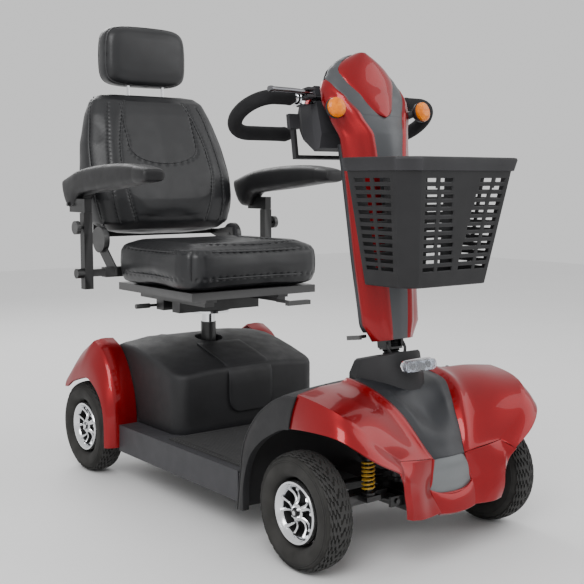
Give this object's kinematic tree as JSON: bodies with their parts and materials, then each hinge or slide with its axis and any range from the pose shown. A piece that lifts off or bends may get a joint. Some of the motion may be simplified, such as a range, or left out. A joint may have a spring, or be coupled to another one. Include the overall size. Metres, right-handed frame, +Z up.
{
  "type": "mobility scooter",
  "caption": "Mobility scooter with a padded swivel seat, folding armrests, a steering tiller with looped handlebars and a front basket, standing on wheels with small pneumatic-style tyres.",
  "frame": {"origin": "on the ground, below the middle of the bounding box", "axes": "+Z up, the front faces -Y, the rider's right is -X"},
  "size_m": [0.696, 1.436, 1.313],
  "materials": {
    "red_paint": "metallic gloss",
    "black_moulding": "fine texture",
    "grey_moulding": "satin",
    "tyre_rubber": "matte",
    "alloy": "machined",
    "frame_paint": "powder coat",
    "chromed_steel": "polished",
    "spring_paint": "gloss",
    "seat_vinyl": "grained",
    "arm_foam": "skinned foam",
    "grip_foam": "foam",
    "amber_lens": "clear",
    "clear_lens": "clear",
    "battery_case": "moulded",
    "drive_casting": "cast",
    "mat_rubber": "ribbed",
    "lever_alloy": "polished",
    "key_metal": "nickel"
  },
  "bodies": {
    "chassis": {"main_frame": "frame_paint", "floor_braces": "frame_paint", "seat_socket": "frame_paint", "floor_pan": "black_moulding", "floor_mat": "mat_rubber", "batteries": "battery_case", "motor_transaxle": "drive_casting", "rear_cover": "black_moulding", "rear_fenders": "red_paint", "front_shroud": "red_paint", "front_centre_panel": "grey_moulding", "footwell_panel": "black_moulding", "neck_cover": "black_moulding", "headlight": "clear_lens", "front_springs": "spring_paint"},
    "front_arm_right": {"front_arm_right": "frame_paint"},
    "front_arm_left": {"front_arm_left": "frame_paint"},
    "knuckle_right": {"knuckle_right": "frame_paint"},
    "knuckle_left": {"knuckle_left": "frame_paint"},
    "tie_rod": {"tie_rod": "frame_paint"},
    "steering_column": {"steering_column": "frame_paint"},
    "tiller": {"tiller_post": "frame_paint", "tiller_rear_cover": "grey_moulding", "tiller_front_cover": "red_paint", "console": "black_moulding", "handlebar": "chromed_steel", "hand_grips": "grip_foam", "indicator_lamps": "amber_lens", "basket_bracket": "frame_paint"},
    "basket": {"basket": "black_moulding"},
    "brake_lever": {"brake_lever": "lever_alloy"},
    "throttle_lever": {"throttle_lever": "black_moulding"},
    "speed_knob": {"speed_knob": "black_moulding"},
    "ignition_key": {"ignition_key": "key_metal"},
    "horn_button": {"horn_button": "black_moulding"},
    "tilt_lever": {"tilt_lever": "frame_paint"},
    "seat_post": {"seat_post": "chromed_steel"},
    "seat_swivel": {"swivel_base": "frame_paint"},
    "swivel_lever": {"swivel_lever": "frame_paint"},
    "seat": {"seat_frame": "frame_paint", "seat_cushion": "seat_vinyl"},
    "slide_lever": {"slide_lever": "frame_paint"},
    "backrest": {"backrest_frame": "frame_paint", "backrest_cushion": "seat_vinyl"},
    "headrest": {"headrest_posts": "chromed_steel", "headrest_cushion": "seat_vinyl"},
    "wheel_front_right": {"tyre_front_right": "tyre_rubber", "rim_front_right": "alloy"},
    "wheel_rear_right": {"tyre_rear_right": "tyre_rubber", "rim_rear_right": "alloy"},
    "armrest_upright_right": {"armrest_upright_right": "frame_paint"},
    "armrest_stem_right": {"armrest_stem_right": "frame_paint"},
    "armrest_pad_right": {"armrest_pad_right": "arm_foam"},
    "wheel_front_left": {"tyre_front_left": "tyre_rubber", "rim_front_left": "alloy"},
    "wheel_rear_left": {"tyre_rear_left": "tyre_rubber", "rim_rear_left": "alloy"},
    "armrest_upright_left": {"armrest_upright_left": "frame_paint"},
    "armrest_stem_left": {"armrest_stem_left": "frame_paint"},
    "armrest_pad_left": {"armrest_pad_left": "arm_foam"}
  },
  "joints": [
    {"name": "steering", "type": "hinge", "parent": "chassis", "child": "steering_column", "pos_m": [0, -0.473, 0.48], "axis": [0, 0.1478, 0.989], "range_deg": [-30, 30]},
    {"name": "front_suspension_right", "type": "hinge", "parent": "chassis", "child": "front_arm_right", "pos_m": [-0.062, -0.521, 0.12], "axis": [0, 1, 0], "range_deg": [-3, 4], "stiffness_Nm_per_rad": 900, "springref_deg": -3.15, "deforming": ["front_springs"]},
    {"name": "kingpin_right", "type": "hinge", "parent": "front_arm_right", "child": "knuckle_right", "pos_m": [-0.215, -0.521, 0.13], "axis": [0, 0, 1], "range_deg": [-30, 30]},
    {"name": "front_wheel_right", "type": "hinge", "parent": "knuckle_right", "child": "wheel_front_right", "pos_m": [-0.287, -0.521, 0.13], "axis": [1, 0, 0], "continuous": true},
    {"name": "rear_wheel_right", "type": "hinge", "parent": "chassis", "child": "wheel_rear_right", "pos_m": [-0.287, 0.477, 0.13], "axis": [1, 0, 0], "continuous": true},
    {"name": "front_suspension_left", "type": "hinge", "parent": "chassis", "child": "front_arm_left", "pos_m": [0.062, -0.521, 0.12], "axis": [0, -1, 0], "range_deg": [-3, 4], "stiffness_Nm_per_rad": 900, "springref_deg": -3.15, "deforming": ["front_springs"]},
    {"name": "kingpin_left", "type": "hinge", "parent": "front_arm_left", "child": "knuckle_left", "pos_m": [0.215, -0.521, 0.13], "axis": [0, 0, 1], "range_deg": [-30, 30]},
    {"name": "front_wheel_left", "type": "hinge", "parent": "knuckle_left", "child": "wheel_front_left", "pos_m": [0.287, -0.521, 0.13], "axis": [1, 0, 0], "continuous": true},
    {"name": "rear_wheel_left", "type": "hinge", "parent": "chassis", "child": "wheel_rear_left", "pos_m": [0.287, 0.477, 0.13], "axis": [1, 0, 0], "continuous": true},
    {"name": "tie_rod_slide", "type": "slide", "parent": "chassis", "child": "tie_rod", "axis": [1, 0, 0], "range_m": [-0.031, 0.031]},
    {"name": "tiller_tilt", "type": "hinge", "parent": "steering_column", "child": "tiller", "pos_m": [0, -0.473, 0.48], "axis": [1, 0, 0], "range_deg": [-25, 0]},
    {"name": "tilt_lever_lift", "type": "hinge", "parent": "tiller", "child": "tilt_lever", "pos_m": [-0.088, -0.46054, 0.48218], "axis": [-1, 0, 0], "range_deg": [0, 20], "stiffness_Nm_per_rad": 0.6},
    {"name": "basket_lift", "type": "slide", "parent": "tiller", "child": "basket", "axis": [0, 0, 1], "range_m": [0, 0.08]},
    {"name": "brake_pull", "type": "hinge", "parent": "tiller", "child": "brake_lever", "pos_m": [-0.144, -0.35344, 1.03644], "axis": [0, -0.1478, -0.989], "range_deg": [0, 9], "stiffness_Nm_per_rad": 3},
    {"name": "throttle_swing", "type": "hinge", "parent": "tiller", "child": "throttle_lever", "pos_m": [0, -0.30076, 0.91532], "axis": [0, 0.1478, 0.989], "range_deg": [-13, 13], "stiffness_Nm_per_rad": 1.5},
    {"name": "speed_dial", "type": "hinge", "parent": "tiller", "child": "speed_knob", "pos_m": [0, -0.27998, 1.02192], "axis": [0, 0.6717, 0.7408], "range_deg": [-135, 135]},
    {"name": "key_turn", "type": "hinge", "parent": "tiller", "child": "ignition_key", "pos_m": [0.06, -0.27998, 1.02192], "axis": [0, 0.6717, 0.7408], "range_deg": [0, 90]},
    {"name": "horn_press", "type": "slide", "parent": "tiller", "child": "horn_button", "axis": [0, -0.6717, -0.7408], "range_m": [0, 0.003], "stiffness_N_per_m": 400},
    {"name": "seat_height", "type": "slide", "parent": "chassis", "child": "seat_post", "axis": [0, 0, 1], "range_m": [0, 0.06]},
    {"name": "seat_turn", "type": "hinge", "parent": "seat_post", "child": "seat_swivel", "pos_m": [0, 0.303, 0.465], "axis": [0, 0, 1], "continuous": true},
    {"name": "swivel_lever_lift", "type": "hinge", "parent": "seat_swivel", "child": "swivel_lever", "pos_m": [-0.03, 0.39, 0.478], "axis": [0, 1, 0], "range_deg": [0, 7], "stiffness_Nm_per_rad": 2},
    {"name": "seat_slide", "type": "slide", "parent": "seat_swivel", "child": "seat", "axis": [0, -1, 0], "range_m": [-0.05, 0.05]},
    {"name": "slide_lever_lift", "type": "hinge", "parent": "seat", "child": "slide_lever", "pos_m": [0.09, 0.086, 0.504], "axis": [-1, 0, 0], "range_deg": [0, 8], "stiffness_Nm_per_rad": 1},
    {"name": "backrest_recline", "type": "hinge", "parent": "seat", "child": "backrest", "pos_m": [0, 0.517, 0.666], "axis": [1, 0, 0], "range_deg": [-18, 50]},
    {"name": "headrest_height", "type": "slide", "parent": "backrest", "child": "headrest", "axis": [0, 0, 1], "range_m": [0, 0.06]},
    {"name": "armrest_width_right", "type": "slide", "parent": "seat", "child": "armrest_upright_right", "axis": [-1, 0, 0], "range_m": [0, 0.05]},
    {"name": "armrest_height_right", "type": "slide", "parent": "armrest_upright_right", "child": "armrest_stem_right", "axis": [0, 0, 1], "range_m": [0, 0.06]},
    {"name": "armrest_flip_right", "type": "hinge", "parent": "armrest_stem_right", "child": "armrest_pad_right", "pos_m": [-0.312, 0.518, 0.77], "axis": [1, 0, 0], "range_deg": [-100, 0]},
    {"name": "armrest_width_left", "type": "slide", "parent": "seat", "child": "armrest_upright_left", "axis": [1, 0, 0], "range_m": [0, 0.05]},
    {"name": "armrest_height_left", "type": "slide", "parent": "armrest_upright_left", "child": "armrest_stem_left", "axis": [0, 0, 1], "range_m": [0, 0.06]},
    {"name": "armrest_flip_left", "type": "hinge", "parent": "armrest_stem_left", "child": "armrest_pad_left", "pos_m": [0.312, 0.518, 0.77], "axis": [1, 0, 0], "range_deg": [-100, 0]}
  ],
  "couplings": [
    {"joint": "kingpin_right", "follows": "steering", "ratio": 1},
    {"joint": "kingpin_left", "follows": "steering", "ratio": 1},
    {"joint": "tie_rod_slide", "follows": "steering", "m_per_rad": -0.0573}
  ]
}
